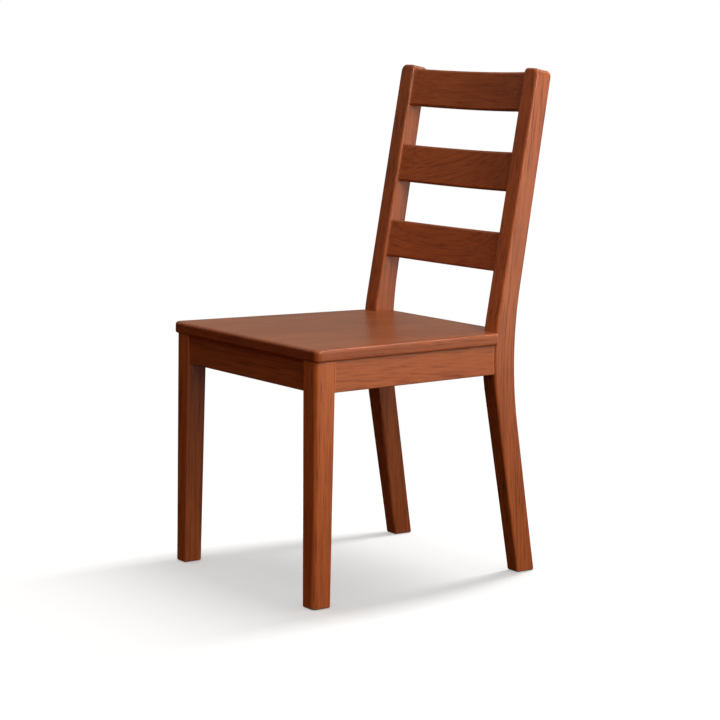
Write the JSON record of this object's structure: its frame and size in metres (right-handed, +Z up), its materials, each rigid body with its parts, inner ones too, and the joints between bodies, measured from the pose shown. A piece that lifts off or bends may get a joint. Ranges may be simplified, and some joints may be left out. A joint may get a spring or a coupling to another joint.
{
  "type": "dining chair",
  "caption": "Ladder-back dining chair in stained solid wood, with a flat board seat, curved back slats, bent back posts and tapered front legs.",
  "frame": {"origin": "on the floor, below the middle of the chair's outline box", "axes": "+Z up, -Y towards the chair's front, +X to the right as seen from the front"},
  "size_m": [0.4616, 0.5351, 0.9273],
  "materials": {
    "stained_wood": "satin",
    "raw_wood": "matte",
    "zinc_steel": "satin",
    "glide_plastic": "matte"
  },
  "bodies": {
    "root": {"seat_panel": "stained_wood", "front_leg_right": "stained_wood", "front_leg_left": "stained_wood", "back_post_right": "stained_wood", "back_post_left": "stained_wood", "front_apron": "stained_wood", "rear_apron": "stained_wood", "side_apron_right": "stained_wood", "side_apron_left": "stained_wood", "top_slat": "stained_wood", "middle_slat": "stained_wood", "lower_slat": "stained_wood", "corner_block_front_right": "raw_wood", "corner_block_front_left": "raw_wood", "corner_block_rear_right": "raw_wood", "corner_block_rear_left": "raw_wood", "front_apron_dowels": "raw_wood", "rear_apron_dowels": "raw_wood", "side_apron_right_dowels": "raw_wood", "side_apron_left_dowels": "raw_wood", "corner_block_screws": "zinc_steel", "seat_screws": "zinc_steel", "seat_screw_washers": "zinc_steel", "foot_glide_front_right": "glide_plastic", "foot_glide_front_left": "glide_plastic", "foot_glide_rear_right": "glide_plastic", "foot_glide_rear_left": "glide_plastic"}
  },
  "joints": []
}
